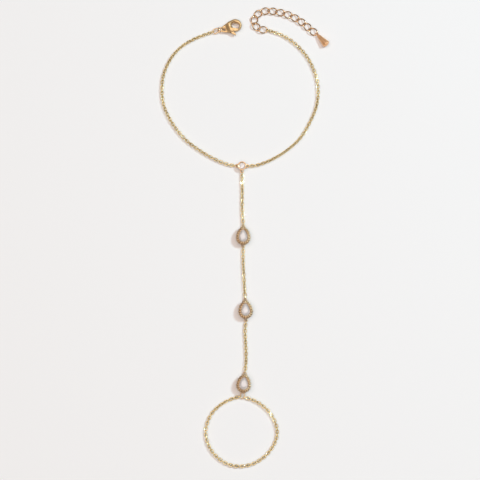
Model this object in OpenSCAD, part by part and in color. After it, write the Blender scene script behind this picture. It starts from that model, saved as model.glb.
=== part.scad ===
// Hand chain bracelet: a fine bracelet joined by a drop chain with three pear stones to a finger loop.
// It lies flat and open. The origin is on the flat back of the center bezel, +Y runs up to the clasp.

/* [Fine chain] */
// Outer length of one chain link
link_len = 1.7; // [1.5:0.05:2.2]
// Outer width of one chain link
link_w = 1.2; // [1.1:0.05:1.5]
// Wire thickness of the chain links
link_wire = 0.3; // [0.2:0.01:0.32]
// Free play between two neighbouring links, also at the rings that they hang in
link_play = 0.14; // [0.12:0.01:0.2]
// How far the lay of the links wanders to either side along a chain, in degrees
link_wander = 9; // [0:1:15]

/* [Center bezel] */
// Diameter of the round center stone
round_stone_d = 2.2; // [1.8:0.1:3]
// Wall of the round bezel at its lip
bezel_wall = 0.3; // [0.2:0.05:0.5]
// Height of the round bezel
bezel_h = 1.9; // [1.8:0.1:3]
// Diameter of the flat back of the round bezel
bezel_back_d = 2.3; // [1.8:0.1:2.6]

/* [Pear settings] */
// Width of a pear stone
pear_stone_w = 2.9; // [2.6:0.1:3.4]
// Length of a pear stone
pear_stone_l = 4.2; // [3.8:0.1:5]
// Radius of the rounded point of a pear stone
pear_tip_r = 0.5; // [0.45:0.05:0.7]
// Width of the milled band round the stone
pear_band = 1.1; // [0.9:0.05:1.3]
// Height of a pear setting
pear_h = 2.6; // [2.4:0.1:3.4]
// How far the wall stands in from the edge of the band
pear_inset = 0.3; // [0.2:0.05:0.4]
// Number of rounded ridges round the band
ridge_count = 18; // [14:1:24]
// Thickness of one ridge
ridge_d = 0.66; // [0.5:0.02:0.7]
// Slope of the ridges down to the outer edge, in degrees
ridge_slope = 14; // [8:1:20]
// Width of the ledge under the girdle of a pear stone
pear_seat = 0.3; // [0.2:0.05:0.4]
// Thickness of the closed backs of all settings
back_t = 0.3; // [0.2:0.05:0.4]

/* [Stones] */
// Clearance round each stone in its pocket
stone_clear = 0.06; // [0.04:0.01:0.1]
// Thickness of the girdle
girdle_t = 0.08; // [0.06:0.01:0.12]
// Height of the crown of a pear stone above its girdle
pear_crown = 0.5; // [0.3:0.05:0.6]
// Depth of a pear stone below its girdle
pear_pavilion = 1.3; // [1:0.1:1.4]
// Height of the crown of the round stone
round_crown = 0.32; // [0.2:0.02:0.4]
// Depth of the round stone below its girdle
round_pavilion = 0.9; // [0.7:0.05:0.95]

/* [Soldered rings] */
// Outer diameter of the small rings soldered to the settings
eye_d = 1.3; // [1.25:0.05:1.7]
// Wire thickness of the small soldered rings
eye_wire = 0.3; // [0.24:0.01:0.34]
// Outer width of the oval ring that holds the finger loop
loop_eye_w = 1.8; // [1.7:0.1:2.4]
// Outer length of the oval ring that holds the finger loop
loop_eye_l = 2.3; // [2.2:0.1:3]
// Wire thickness of the oval ring that holds the finger loop
loop_eye_wire = 0.35; // [0.3:0.01:0.38]
// How deep a soldered ring sinks into its wall
solder_depth = 0.15; // [0.1:0.01:0.2]

/* [Layout] */
// Distance from the center stone to the upper pear stone, centers of their round parts
drop_to_upper = 24.4; // [22:0.1:28]
// Distance from the upper to the middle pear stone
upper_to_middle = 24.7; // [22:0.1:28]
// Distance from the middle to the lower pear stone
middle_to_lower = 24.4; // [22:0.1:28]

/* [Extender] */
// Number of links in the extender
extender_links = 12; // [10:1:13]
// Outer width of an extender link
extender_w = 2.6; // [2.4:0.1:2.8]
// Wire thickness of an extender link
extender_wire = 0.4; // [0.36:0.01:0.42]
// Twist of an extender link from end to end, in degrees
extender_twist = 90; // [80:1:100]
// Free play between two extender links, also at the drop
extender_play = 0.22; // [0.2:0.01:0.28]

/* [End drop] */
// Length of the cone of the end drop
drop_len = 4.7; // [4:0.1:7]
// Largest diameter of the end drop
drop_d = 2.5; // [2.2:0.1:3.2]
// Diameter of the end drop at its neck
drop_neck_d = 1.08; // [0.9:0.02:1.2]
// Height of the rounded end of the drop
drop_dome = 0.55; // [0.4:0.05:0.9]
// Outer diameter of the eyelet of the end drop
eyelet_d = 1.5; // [1.4:0.05:1.7]
// Wire thickness of that eyelet
eyelet_wire = 0.28; // [0.26:0.01:0.3]

/* [Clasp] */
// Distance from the eye of the clasp to the center of its hook
clasp_reach = 4.2; // [4:0.1:5]
// Outer diameter of the hook
hook_d = 4.2; // [4:0.1:4.8]
// Width of the oval hole of the hook
hook_hole_w = 1.7; // [1.6:0.05:1.9]
// Length of the oval hole of the hook
hook_hole_l = 2.8; // [2.5:0.05:2.9]
// Turn of the oval hole from the middle line of the clasp, in degrees
hook_hole_turn = -34; // [-45:1:0]
// Diameter of the belly of the clasp
belly_d = 3.8; // [3.4:0.1:4]
// Distance from the eye to the center of the belly
belly_reach = 2.6; // [2.4:0.1:2.8]
// Thickness of the clasp at its belly
clasp_t = 2.3; // [2.2:0.1:2.8]
// Thickness of the clasp at its edges
clasp_edge_t = 1.5; // [1.4:0.1:1.8]
// Outer diameter of the eye of the clasp
clasp_eye_d = 2; // [1.9:0.05:2.2]
// Diameter of the hole in the eye
clasp_eye_hole = 1.2; // [1.15:0.05:1.3]
// Thickness of the eye
clasp_eye_t = 0.7; // [0.6:0.05:0.8]
// Thickness of the lever
lever_t = 0.9; // [0.8:0.05:1]
// Distance of the lever pivot from the eye along the clasp
pivot_along = 2.3; // [2.2:0.05:2.4]
// Distance of the lever pivot from the middle line of the clasp
pivot_aside = 0.85; // [0.8:0.05:0.95]
// Reach of the lever from its pivot to its tip
lever_reach = 2.45; // [2.3:0.05:2.6]
// Diameter of the pivot pin
pin_d = 0.5; // [0.4:0.02:0.6]
// Running clearance round the pivot pin
pin_clear = 0.05; // [0.02:0.01:0.08]
// Clearance round the lever everywhere else
lever_clear = 0.12; // [0.1:0.01:0.2]

/* [Jump rings of the clasp] */
// Outer diameter of the ring in the eye of the clasp
clasp_ring_d = 2.4; // [2.3:0.05:2.8]
// Wire thickness of the ring in the eye of the clasp
clasp_ring_wire = 0.4; // [0.34:0.01:0.42]
// Lean of that ring from upright, in degrees
clasp_ring_lean = 28; // [0:1:30]
// Outer length of the oval ring at the end of the chain
tail_ring_l = 2.7; // [2.5:0.1:3.4]
// Outer width of the oval ring at the end of the chain
tail_ring_w = 1.9; // [1.7:0.1:2.4]
// Wire thickness of the oval ring at the end of the chain
tail_ring_wire = 0.34; // [0.28:0.01:0.36]

/* [Hidden] */

// Colours
gold = "#d9b47c";
drop_gold = "#dfa468";
crystal = "#eef0f2";

// Smoothness of round shapes
wire_fn = 48;
round_fn = 96;

// Hand-chosen points of the chains, seen from above, between the rings that they hang in
left_route = [[-5, 0.7], [-10, 2.9], [-15.4, 6.3], [-19.8, 10], [-23.7, 15.2], [-26.3, 20.8],
    [-27, 26.4], [-26.4, 31.8], [-24, 37.3], [-20.6, 41.2], [-16.6, 43.8], [-12.6, 45.5]];
right_route = [[5, 0.4], [9.5, 2.1], [14.8, 5.3], [19.6, 9.7], [22.9, 15.2], [25.1, 20.7],
    [25.7, 26.3], [24.8, 31.8], [22.2, 37.5], [18.3, 42.1], [14.2, 45], [10.8, 46.4]];
upper_route = [[0.1, -8], [0.1, -14]];
middle_route = [[0.4, -32], [0.7, -38.5]];
lower_route = [[1, -55.5], [1.3, -61.5], [1.3, -65.7]];
finger_route = [[-3.3, -77.8], [-6.7, -79.5], [-9.7, -82.3], [-11.4, -85.8], [-11.9, -89.4],
    [-10.7, -93.5], [-8.1, -96.9], [-4.4, -99.2], [-0.4, -99.8], [3.6, -99], [7.3, -96.7],
    [10.1, -93.4], [11.5, -89.4], [10.9, -85.6], [8.8, -82], [5.7, -79.3], [3.1, -78]];
extender_route = [[8.3, 47.1], [5.5, 47.4], [4, 49.5], [4.5, 52], [6.6, 53.6], [9.2, 53.9],
    [11.8, 53.5], [14.4, 52.9], [16.8, 52], [19.1, 50.7], [21.2, 49.2], [23.1, 47.4],
    [25.2, 45.8]];

// Columns of a place: across, up, turn in degrees
upper_place = [0.4, -drop_to_upper, 0];
middle_place = [1.2, -drop_to_upper - upper_to_middle, 2];
lower_place = [0.5, -drop_to_upper - upper_to_middle - middle_to_lower, -6];
clasp_place = [-6.2, 47.2, 19];
drop_turn = -49;

// Lay of the links at the middle of a chain, and the stretches over which it changes
lay_lean = 25;
upright = 90;
half_turn = 180;
full_turn = 360;
lay_run = 6;
lift_run = 4;
wander_every = 18;
// Clearance between the chains and the surface on which the settings rest
floor_gap = 0.02;

// Fineness of the curves
curve_steps = 8;
route_tail = 2;

// Chain values
link_half = (link_w - link_wire) / 2;
link_inner = link_len - 2 * link_wire;
link_pitch = link_inner - link_play;
eye_z = link_w / 2 + floor_gap;

// Setting values
bezel_d = round_stone_d + 2 * (stone_clear + bezel_wall);
stone_r = pear_stone_w / 2;
core_r = stone_r - pear_tip_r;
core_tip = pear_stone_l - stone_r - pear_tip_r;
side_r = (core_r * core_r + core_tip * core_tip) / (2 * core_r);
side_shift = side_r - core_r;
side_fan = atan2(core_tip, side_shift);
pear_wall = pear_band - pear_inset;
wall_end = stone_r + pear_wall;
wall_tip = core_tip + pear_tip_r + pear_wall;
seat_share = 0.8;
table_share = 0.56;
culet_share = 0.04;
lip_drop = 0.1;
stone_sides = 16;
facet_skin = 0.02;

// Clasp values
clasp_z = clasp_t / 2;
channel_t = lever_t + 2 * lever_clear;
boss_wall = 0.25;
swing_room = 0.4;
boss_r = pin_d / 2 + pin_clear + boss_wall;
cheek_along = pivot_along + boss_r + lever_clear;
lever_top = boss_r - pivot_aside - lever_clear;
gate_top = lever_top + lever_clear;
channel_top = gate_top + swing_room;
neck_len = clasp_reach - pivot_along - sqrt(pow((hook_d + hook_hole_w) / 4, 2) - pow(pivot_aside, 2));

// Point on a smooth curve through four points
function curve_point(a, b, c, d, t) =
    0.5 * (2 * b + (c - a) * t + (2 * a - 5 * b + 4 * c - d) * t * t
        + (3 * b - a - 3 * c + d) * t * t * t);

// Smooth curve through a list of points
function smooth_curve(p) = [
    for (i = [0 : len(p) - 2], k = [0 : curve_steps - 1])
        curve_point(p[max(i - 1, 0)], p[i], p[i + 1], p[min(i + 2, len(p) - 1)], k / curve_steps),
    p[len(p) - 1]
];

// The same list with a straight tail added at both ends
function with_tails(p) = let (n = len(p) - 1)
    concat([p[0] + route_tail * unit(p[0] - p[1])], p, [p[n] + route_tail * unit(p[n] - p[n - 1])]);

function unit(v) = v / norm(v);
function flat(v) = [v[0], v[1]];
function turned(v, a) = [v[0] * cos(a) - v[1] * sin(a), v[0] * sin(a) + v[1] * cos(a)];
function put(v, place) = turned(v, place[2]) + flat(place);

// Length from the start of a curve to each of its points
function running_length(p) = [
    for (i = 0, s = 0; i < len(p); s = s + (i < len(p) - 1 ? norm(p[i + 1] - p[i]) : 0), i = i + 1) s
];

// Table of a curve: one row of length, across and up for each point
function curve_table(p) = let (s = running_length(p)) [for (i = [0 : len(p) - 1]) [s[i], p[i][0], p[i][1]]];
function table_point(table, s) = [
    lookup(s, [for (row = table) [row[0], row[1]]]),
    lookup(s, [for (row = table) [row[0], row[2]]])
];
function table_end(table) = table[len(table) - 1][0];

// Height of the middle of the chain where its links lie at an angle
function lay_height(lay) = floor_gap + link_wire / 2 + link_half * max(abs(sin(lay)), abs(cos(lay)));

// Moves what it holds to a point, along a direction, rolled about it
module along(point, direction, roll) {
    yaw = atan2(direction[1], direction[0]);
    rise = atan2(direction[2], norm(flat(direction)));
    translate(point) rotate([0, -rise, yaw]) rotate([roll, 0, 0]) children();
}

// Oval ring of round wire in the flat, its length along X
module oval_ring(length, width, wire) {
    arc_r = (width - wire) / 2;
    half_run = (length - width) / 2;
    for (side = [-1, 1]) {
        translate([side * half_run, 0, 0])
            rotate([0, 0, -side * 90])
                rotate_extrude(angle = 180, $fn = wire_fn)
                    translate([arc_r, 0]) circle(d = wire, $fn = wire_fn);
        translate([0, side * arc_r, 0])
            rotate([0, 90, 0])
                cylinder(d = wire, h = 2 * half_run, center = true, $fn = wire_fn);
    }
}

// Round ring of round wire in the flat
module round_ring(d, wire) {
    rotate_extrude($fn = wire_fn)
        translate([(d - wire) / 2, 0]) circle(d = wire, $fn = wire_fn);
}

// Chain of oval links from one ring to another. A seat is the point of a ring's wire that the
// chain hooks round, wires are the thicknesses there, heights the heights of those rings, and
// last_roll is the roll of the last link. The upright links lean to the side of lean_side: 1 is to
// the right of the way that the chain runs, -1 to the left.
module link_chain(seats, route, wires, heights, last_roll, lean_side) {
    path = smooth_curve(with_tails(concat([seats[0]], route, [seats[1]])));
    table = curve_table(path);
    start = route_tail + link_inner / 2 - wires[0] / 2 - link_play;
    stop = table_end(table) - route_tail - link_inner / 2 + wires[1] / 2 + link_play;
    gaps = round((stop - start) / link_pitch);
    pitch = (stop - start) / gaps;
    middle_lay = upright + lean_side * lay_lean;
    end_turn = last_roll - upright * (gaps % 2) - middle_lay + full_turn;
    end_lay = middle_lay + (end_turn + upright) % half_turn - upright;
    function lay(s) = let (
            from_start = min((s - start) / lay_run, 1),
            from_stop = min((stop - s) / lay_run, 1)
        )
        middle_lay + (upright - middle_lay) * (1 - from_start) + (end_lay - middle_lay) * (1 - from_stop)
            + link_wander * sin(full_turn * (s - start) / wander_every) * min(from_start, from_stop);
    function height(s) = lay_height(lay(s))
        + (heights[0] - lay_height(upright)) * max(0, 1 - (s - start) / lift_run)
        + (heights[1] - lay_height(end_lay)) * max(0, 1 - (stop - s) / lift_run);
    function spot(s) = let (p = table_point(table, s)) [p[0], p[1], height(s)];
    for (k = [0 : gaps]) {
        s = start + k * pitch;
        front = spot(s + pitch / 2);
        rear = spot(s - pitch / 2);
        along((front + rear) / 2, front - rear, lay(s) + upright * (k % 2))
            oval_ring(link_len, link_w, link_wire);
    }
}

// Outline of the pear stone moved outwards by a band: a round part about the origin, two long
// sides and a rounded point on +Y, all at one distance from a sharp pear inside the stone
module pear_outline(band) {
    off = band + pear_tip_r;
    circle(r = core_r + off, $fn = round_fn);
    intersection() {
        translate([-side_shift, 0]) circle(r = side_r + off, $fn = 2 * round_fn);
        translate([side_shift, 0]) circle(r = side_r + off, $fn = 2 * round_fn);
        polygon([[-side_r, 0], [side_r, 0], [side_r * cos(side_fan), core_tip + side_r * sin(side_fan)],
            [0, core_tip], [-side_r * cos(side_fan), core_tip + side_r * sin(side_fan)]]);
    }
    translate([0, core_tip]) circle(r = off, $fn = round_fn);
}

// Lengths of the parts of an outline at a distance off from the sharp pear, and its whole length
function tip_run(off) = off * (upright - side_fan) * PI / half_turn;
function side_run(off) = (side_r + off) * side_fan * PI / half_turn;
function round_run(off) = (core_r + off) * PI;
function pear_girth(off) = 2 * (tip_run(off) + side_run(off)) + round_run(off);

// Point and outward direction at a share of that outline, clockwise from the point of the pear
function right_spot(off, s) = let (past = s - tip_run(off), beyond = past - side_run(off))
    past < 0 ? let (a = upright - (upright - side_fan) * s / tip_run(off))
            [off * cos(a), core_tip + off * sin(a), a]
        : beyond < 0 ? let (a = side_fan * (1 - past / side_run(off)))
            [(side_r + off) * cos(a) - side_shift, (side_r + off) * sin(a), a]
        : let (a = -half_turn * beyond / round_run(off))
            [(core_r + off) * cos(a), (core_r + off) * sin(a), a];
function pear_spot(band, share) = let (off = band + pear_tip_r, s = pear_girth(off) * share,
        rest = pear_girth(off) - s, spot = right_spot(off, min(s, rest)))
    s <= rest ? spot : [-spot[0], spot[1], half_turn - spot[2]];

// Points of the stone's outline, for cutting it with flat sides
function pear_points(n) = [for (i = [0 : n - 1]) flat(pear_spot(0, i / n))];
function round_points(d, n) = [for (i = [0 : n - 1]) d / 2 * [cos(360 * i / n), sin(360 * i / n)]];

// Cut stone over a girdle outline: table, crown, girdle and pavilion, the girdle's middle at z 0
module cut_stone(outline, crown, pavilion) {
    hull() {
        translate([0, 0, -girdle_t / 2]) linear_extrude(girdle_t) polygon(outline);
        translate([0, 0, crown - facet_skin])
            linear_extrude(facet_skin)
                polygon([for (i = [0 : 2 : len(outline) - 1]) table_share * outline[i]]);
        translate([0, 0, -pavilion])
            linear_extrude(facet_skin)
                polygon([for (i = [0 : 2 : len(outline) - 1]) culet_share * outline[i]]);
    }
}

// Rounded bar along X from the origin with a round end, cut flat at the origin
module ridge_bar(length, d) {
    rotate([0, 90, 0])
        rotate_extrude($fn = wire_fn)
            union() {
                square([d / 2, length - d / 2]);
                intersection() {
                    translate([0, length - d / 2]) circle(d = d, $fn = wire_fn);
                    square([d, length]);
                }
            }
}

// Heights inside the settings
pear_girdle_z = pear_h - lip_drop - pear_crown;
bezel_girdle_z = bezel_h - lip_drop - round_crown;
pear_ledge_z = pear_girdle_z - pear_seat / stone_r * pear_pavilion - stone_clear;
bezel_ledge_z = bezel_girdle_z - (1 - seat_share) * round_pavilion - stone_clear;
ridge_z = pear_h - ridge_d / 2 - (pear_band - ridge_d / 2) * sin(ridge_slope);
eye_reach = eye_d / 2 - solder_depth;

// Setting of a pear stone about the center of its round part, its back on z 0, with a soldered
// ring at its point and room for another at its round end
module pear_setting() {
    bar_len = pear_band + ridge_d / 2;
    difference() {
        union() {
            linear_extrude(ridge_z) pear_outline(pear_wall);
            translate([0, 0, ridge_z - ridge_d / 2])
                linear_extrude(ridge_d / 2) pear_outline(pear_band - ridge_d / 2);
            for (i = [0 : ridge_count - 1]) {
                at = pear_spot(pear_band, i / ridge_count);
                root = flat(at) - bar_len * [cos(at[2]), sin(at[2])];
                translate([root[0], root[1], ridge_z + bar_len * sin(ridge_slope)])
                    rotate([0, ridge_slope, at[2]]) ridge_bar(bar_len, ridge_d);
            }
            translate([0, wall_tip + eye_reach, eye_z]) round_ring(eye_d, eye_wire);
            children();
        }
        translate([0, 0, pear_ledge_z]) linear_extrude(pear_h) pear_outline(stone_clear);
        translate([0, 0, back_t]) linear_extrude(pear_h) pear_outline(-pear_seat);
    }
}

// Small ring soldered to the round end of a pear setting
module end_eye() {
    translate([0, -wall_end - eye_reach, eye_z]) round_ring(eye_d, eye_wire);
}

// Oval ring soldered to the round end of the lower pear setting
module loop_eye() {
    translate([0, -wall_end - loop_eye_l / 2 + solder_depth, eye_z])
        rotate([0, 0, 90]) oval_ring(loop_eye_l, loop_eye_w, loop_eye_wire);
}

module pear_stone() {
    translate([0, 0, pear_girdle_z])
        cut_stone(pear_points(stone_sides), pear_crown, pear_pavilion);
}

module at_place(place) {
    translate([place[0], place[1], 0]) rotate([0, 0, place[2]]) children();
}

module pear_setting_upper() {
    color(gold) at_place(upper_place) pear_setting() end_eye();
}

module pear_setting_middle() {
    color(gold) at_place(middle_place) pear_setting() end_eye();
}

module pear_setting_lower() {
    color(gold) at_place(lower_place) pear_setting() loop_eye();
}

module pear_stone_upper() {
    color(crystal) at_place(upper_place) pear_stone();
}

module pear_stone_middle() {
    color(crystal) at_place(middle_place) pear_stone();
}

module pear_stone_lower() {
    color(crystal) at_place(lower_place) pear_stone();
}

// Round cup with three soldered rings: left, right and below
bezel_eye_r = bezel_back_d / 2 + (bezel_d - bezel_back_d) / 2 * eye_z / bezel_h;
left_eye_turn = 174;
low_eye_turn = 270;
right_eye_turn = 4;

module center_bezel() {
    color(gold) difference() {
        union() {
            cylinder(d1 = bezel_back_d, d2 = bezel_d, h = bezel_h, $fn = round_fn);
            for (turn = [left_eye_turn, low_eye_turn, right_eye_turn]) {
                rotate([0, 0, turn])
                    translate([bezel_eye_r + eye_reach, 0, eye_z]) round_ring(eye_d, eye_wire);
            }
        }
        translate([0, 0, bezel_ledge_z])
            cylinder(d = round_stone_d + 2 * stone_clear, h = bezel_h, $fn = round_fn);
        translate([0, 0, back_t])
            cylinder(d = seat_share * round_stone_d, h = bezel_h, $fn = round_fn);
    }
}

module center_stone() {
    color(crystal) translate([0, 0, bezel_girdle_z])
        cut_stone(round_points(round_stone_d, stone_sides), round_crown, round_pavilion);
}

// Seats: points of the wires that the chains hook round
eye_seat_reach = eye_reach + (eye_d - eye_wire) / 2;
bezel_seat = [bezel_eye_r + eye_seat_reach, 0];
top_seat = [0, wall_tip + eye_seat_reach];
end_seat = [0, -wall_end - eye_seat_reach];

// The ring in the eye of the clasp stands away from the eye along the clasp, and the oval ring
// of the chain hangs in it
ring_turn = 4;
tail_turn = 16;
ring_place = [clasp_place[0], clasp_place[1], ring_turn];
clasp_ring_r = (clasp_ring_d - clasp_ring_wire) / 2;
tail_front = -(2 * clasp_ring_r - clasp_ring_wire / 2 + clasp_eye_d / 2) / 2;
tail_dip = 0.15;
tail_front_at = put([tail_front, 0], ring_place);
tail_seat = tail_front_at + turned([tail_ring_wire - tail_ring_l, 0], tail_turn);

module clasp_ring() {
    color(gold) at_place(ring_place)
        translate([-clasp_ring_r, 0, clasp_z])
            rotate([90 - clasp_ring_lean, 0, 0]) round_ring(clasp_ring_d, clasp_ring_wire);
}

module tail_ring() {
    high = [tail_front_at[0], tail_front_at[1], clasp_z - tail_dip];
    low = [tail_seat[0], tail_seat[1], eye_z];
    color(gold) along((high + low) / 2, high - low, 0) oval_ring(tail_ring_l, tail_ring_w, tail_ring_wire);
}

module bracelet_chain_left() {
    color(gold) link_chain([turned(bezel_seat, left_eye_turn), tail_seat], left_route,
        [eye_wire, tail_ring_wire], [eye_z, eye_z], upright, -1);
}

module bracelet_chain_right() {
    color(gold) link_chain([turned(bezel_seat, right_eye_turn), extender_seat], right_route,
        [eye_wire, extender_wire], [eye_z, extender_z], extender_twist / 2, -1);
}

module drop_chain_upper() {
    color(gold) link_chain([turned(bezel_seat, low_eye_turn), put(top_seat, upper_place)], upper_route,
        [eye_wire, eye_wire], [eye_z, eye_z], upright, 1);
}

module drop_chain_middle() {
    color(gold) link_chain([put(end_seat, upper_place), put(top_seat, middle_place)], middle_route,
        [eye_wire, eye_wire], [eye_z, eye_z], upright, 1);
}

module drop_chain_lower() {
    color(gold) link_chain([put(end_seat, middle_place), put(top_seat, lower_place)], lower_route,
        [eye_wire, eye_wire], [eye_z, eye_z], upright, 1);
}

// Extender: twisted oval links, each from one joint of the route to the next
extender_table = curve_table(smooth_curve(with_tails(extender_route)));
extender_pitch = (table_end(extender_table) - 2 * route_tail) / extender_links;
extender_half_l = (extender_pitch + extender_wire + extender_play) / 2;
extender_half_w = (extender_w - extender_wire) / 2;
extender_steps = 20;
sweep_step = 5;
extender_sides = 6;
function twisted_oval(t) = let (lean = extender_twist / 2 * cos(t))
    [extender_half_l * cos(t), extender_half_w * sin(t) * cos(lean), extender_half_w * sin(t) * sin(lean)];
extender_z = extender_wire / 2 + max([for (t = [0 : sweep_step : full_turn]) twisted_oval(t)[2]]);
extender_seat = table_point(extender_table, route_tail)
    + unit(extender_route[0] - extender_route[1]) * (extender_wire + extender_play) / 2;
function extender_joint(k) = table_point(extender_table, route_tail + k * extender_pitch);

// Wire of round section along a closed curve of points
module closed_wire(points, wire, sides) {
    n = len(points);
    function way(i) = unit(points[(i + 1) % n] - points[(i + n - 1) % n]);
    function side_way(i) = unit(cross(way(i), cross(unit(points[i]), way(i))));
    function up_way(i) = cross(way(i), side_way(i));
    skin = [for (i = [0 : n - 1], k = [0 : sides - 1]) points[i]
        + wire / 2 * (cos(360 * k / sides) * side_way(i) + sin(360 * k / sides) * up_way(i))];
    faces = [for (i = [0 : n - 1], k = [0 : sides - 1]) let (a = i * sides, b = ((i + 1) % n) * sides,
        m = (k + 1) % sides) each [[a + k, a + m, b + m], [a + k, b + m, b + k]]];
    polyhedron(skin, faces);
}

module extender_chain() {
    oval = [for (i = [0 : extender_steps - 1]) twisted_oval(360 * i / extender_steps)];
    color(gold) for (k = [0 : extender_links - 1]) {
        rear = extender_joint(k);
        front = extender_joint(k + 1);
        middle = (rear + front) / 2;
        way = front - rear;
        along([middle[0], middle[1], extender_z], [way[0], way[1], 0], 0)
            closed_wire(oval, extender_wire, extender_sides);
    }
}

// End drop: a cone whose eyelet hangs in the last link, square to that link's twisted end
last_joint = extender_joint(extender_links);
last_way = unit(last_joint - extender_joint(extender_links - 1));
last_link_end = last_joint + last_way * (extender_wire + extender_play) / 2;
eyelet_r = (eyelet_d - eyelet_wire) / 2;
eyelet_way = [cos(drop_turn), sin(drop_turn)];
eyelet_at = last_link_end
    + eyelet_way * (eyelet_r - (extender_wire + eyelet_wire) / 2 - extender_play);
drop_start = eyelet_r - eyelet_wire / 4;
drop_slope = asin((drop_d - eyelet_d) / 2 / (drop_start + drop_len - drop_dome));
dome_r = (drop_d * drop_d / 4 + drop_dome * drop_dome) / (2 * drop_dome);

module end_drop() {
    cone_len = drop_len - drop_dome;
    color(drop_gold) translate([eyelet_at[0], eyelet_at[1], eyelet_d / 2])
        rotate([0, 0, drop_turn]) rotate([0, -drop_slope, 0]) {
            rotate([upright + extender_twist / 2, 0, 0]) round_ring(eyelet_d, eyelet_wire);
            translate([drop_start, 0, 0]) rotate([0, 90, 0])
                rotate_extrude($fn = round_fn)
                    union() {
                        polygon([[0, 0], [drop_neck_d / 2, 0], [drop_d / 2, cone_len], [0, cone_len]]);
                        intersection() {
                            translate([0, drop_len - dome_r]) circle(r = dome_r, $fn = round_fn);
                            translate([0, cone_len]) square([drop_d / 2, drop_dome]);
                        }
                    }
        }
}

// Clasp, in its own frame: the eye at the origin, the hook on +X, the lever on the -Y side
module at_clasp() {
    translate([clasp_place[0], clasp_place[1], clasp_z]) rotate([0, 0, clasp_place[2]]) children();
}

// Straight-sided blend between a circle at the origin and one along +X
module blend_outline(reach, d1, d2) {
    lean = asin((d2 - d1) / 2 / reach);
    start = d1 / 2 * [-sin(lean), cos(lean)];
    stop = [reach, 0] + d2 / 2 * [-sin(lean), cos(lean)];
    polygon([start, stop, [stop[0], -stop[1]], [start[0], -start[1]]]);
}

// Plan of the clasp as a thick plate: eye, belly and hook with blends between them
module clasp_plan(t) {
    cylinder(d = clasp_eye_d, h = t, center = true, $fn = round_fn);
    linear_extrude(t, center = true) blend_outline(belly_reach, clasp_eye_d, belly_d);
    translate([belly_reach, 0, 0]) {
        cylinder(d = belly_d, h = t, center = true, $fn = round_fn);
        linear_extrude(t, center = true) blend_outline(clasp_reach - belly_reach, belly_d, hook_d);
    }
    translate([clasp_reach, 0, 0]) cylinder(d = hook_d, h = t, center = true, $fn = round_fn);
}

// Side outline of the clasp: thin at the eye, full at the belly, thinner at the end of the hook
module clasp_side() {
    tip = clasp_reach + hook_d / 2;
    eye_end = clasp_eye_d / 2;
    full_from = belly_reach - belly_d / 4;
    full = clasp_t / 2 + solder_depth;
    polygon([[-eye_end, -clasp_eye_t / 2], [eye_end / 2, -clasp_eye_t / 2], [full_from, -full],
        [clasp_reach, -full], [tip, -clasp_edge_t / 2], [tip, clasp_edge_t / 2],
        [clasp_reach, full], [full_from, full], [eye_end / 2, clasp_eye_t / 2],
        [-eye_end, clasp_eye_t / 2]]);
}

// Cross-section of the clasp: flat in the middle and thinner towards both edges
lens_flats = 5;
function lens_half(f) = clasp_t / 2 - (clasp_t - clasp_edge_t) / 2 * pow(max(0, abs(f) - 1 / lens_flats), 2)
    / pow(1 - 1 / lens_flats, 2);

module clasp_lens() {
    spots = [for (i = [0 : lens_flats]) 2 * i / lens_flats - 1];
    polygon(concat([for (f = spots) [f * hook_d / 2, -lens_half(f)]],
        [for (f = spots) [-f * hook_d / 2, lens_half(f)]]));
}

// Oval hole of the hook, wider all round by a clearance
module hook_hole(clear) {
    w = hook_hole_w + 2 * clear;
    run = hook_hole_l - hook_hole_w;
    translate([clasp_reach, 0, 0]) rotate([0, 0, hook_hole_turn]) {
        for (side = [-1, 1]) {
            translate([side * run / 2, 0, 0])
                cylinder(d = w, h = 2 * clasp_t, center = true, $fn = round_fn);
        }
        cube([run, w, 2 * clasp_t], center = true);
    }
}

module clasp_body() {
    color(gold) at_clasp() {
        difference() {
            intersection() {
                clasp_plan(2 * clasp_t);
                rotate([90, 0, 0]) linear_extrude(2 * hook_d, center = true) clasp_side();
                rotate([90, 0, 90]) translate([0, 0, -clasp_eye_d])
                    linear_extrude(clasp_reach + hook_d + clasp_eye_d) clasp_lens();
            }
            cylinder(d = clasp_eye_hole, h = clasp_t, center = true, $fn = wire_fn);
            hook_hole(0);
            translate([pivot_along - boss_r - lever_clear, -hook_d, -channel_t / 2])
                cube([clasp_reach - pivot_along, hook_d + channel_top, channel_t]);
            intersection() {
                translate([pivot_along, -pivot_aside, 0])
                    cylinder(r = lever_reach + lever_clear, h = 2 * clasp_t, center = true, $fn = round_fn);
                translate([cheek_along, -hook_d, -clasp_t]) cube([hook_d, hook_d + gate_top, 2 * clasp_t]);
            }
        }
        translate([pivot_along, -pivot_aside, 0])
            cylinder(d = pin_d, h = channel_t + 2 * solder_depth, center = true, $fn = wire_fn);
    }
}

// Thumb tab of the lever, from its root at the pivot to its tip
tab_points = [[-0.5, -0.2], [0.35, -0.4], [0.55, -1.1], [1.12, -2.15], [0.84, -2.45], [-0.2, -1.35]];

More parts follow.
